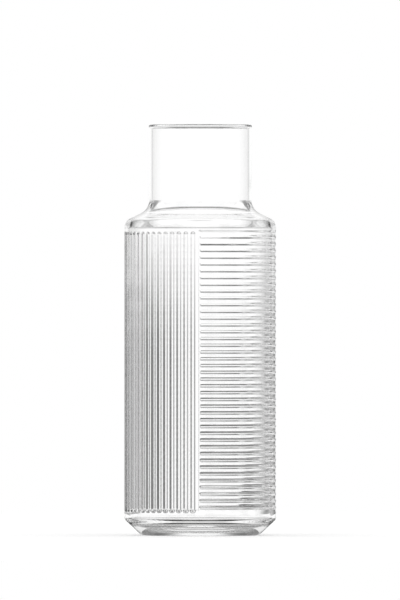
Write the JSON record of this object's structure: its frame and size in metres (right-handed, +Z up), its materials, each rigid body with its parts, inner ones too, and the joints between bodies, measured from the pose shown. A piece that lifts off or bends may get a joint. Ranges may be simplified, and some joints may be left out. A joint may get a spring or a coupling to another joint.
{
  "type": "water carafe",
  "caption": "Clear glass water carafe with a round body, sloping shoulder and wide neck; its wall has upright flutes on one half and level ring grooves on the other.",
  "frame": {"origin": "centre of the base, on the surface that the carafe stands on", "axes": "+Z up along the axis of the carafe, front towards -Y, upright flutes on the -X half, level rings on the +X half"},
  "size_m": [0.0916, 0.0916, 0.248],
  "materials": {
    "clear_glass": "clear, fire-polished"
  },
  "bodies": {
    "root": {"rim": "clear_glass", "neck": "clear_glass", "shoulder": "clear_glass", "fluted_wall": "clear_glass", "ringed_wall": "clear_glass", "base": "clear_glass"}
  },
  "joints": []
}
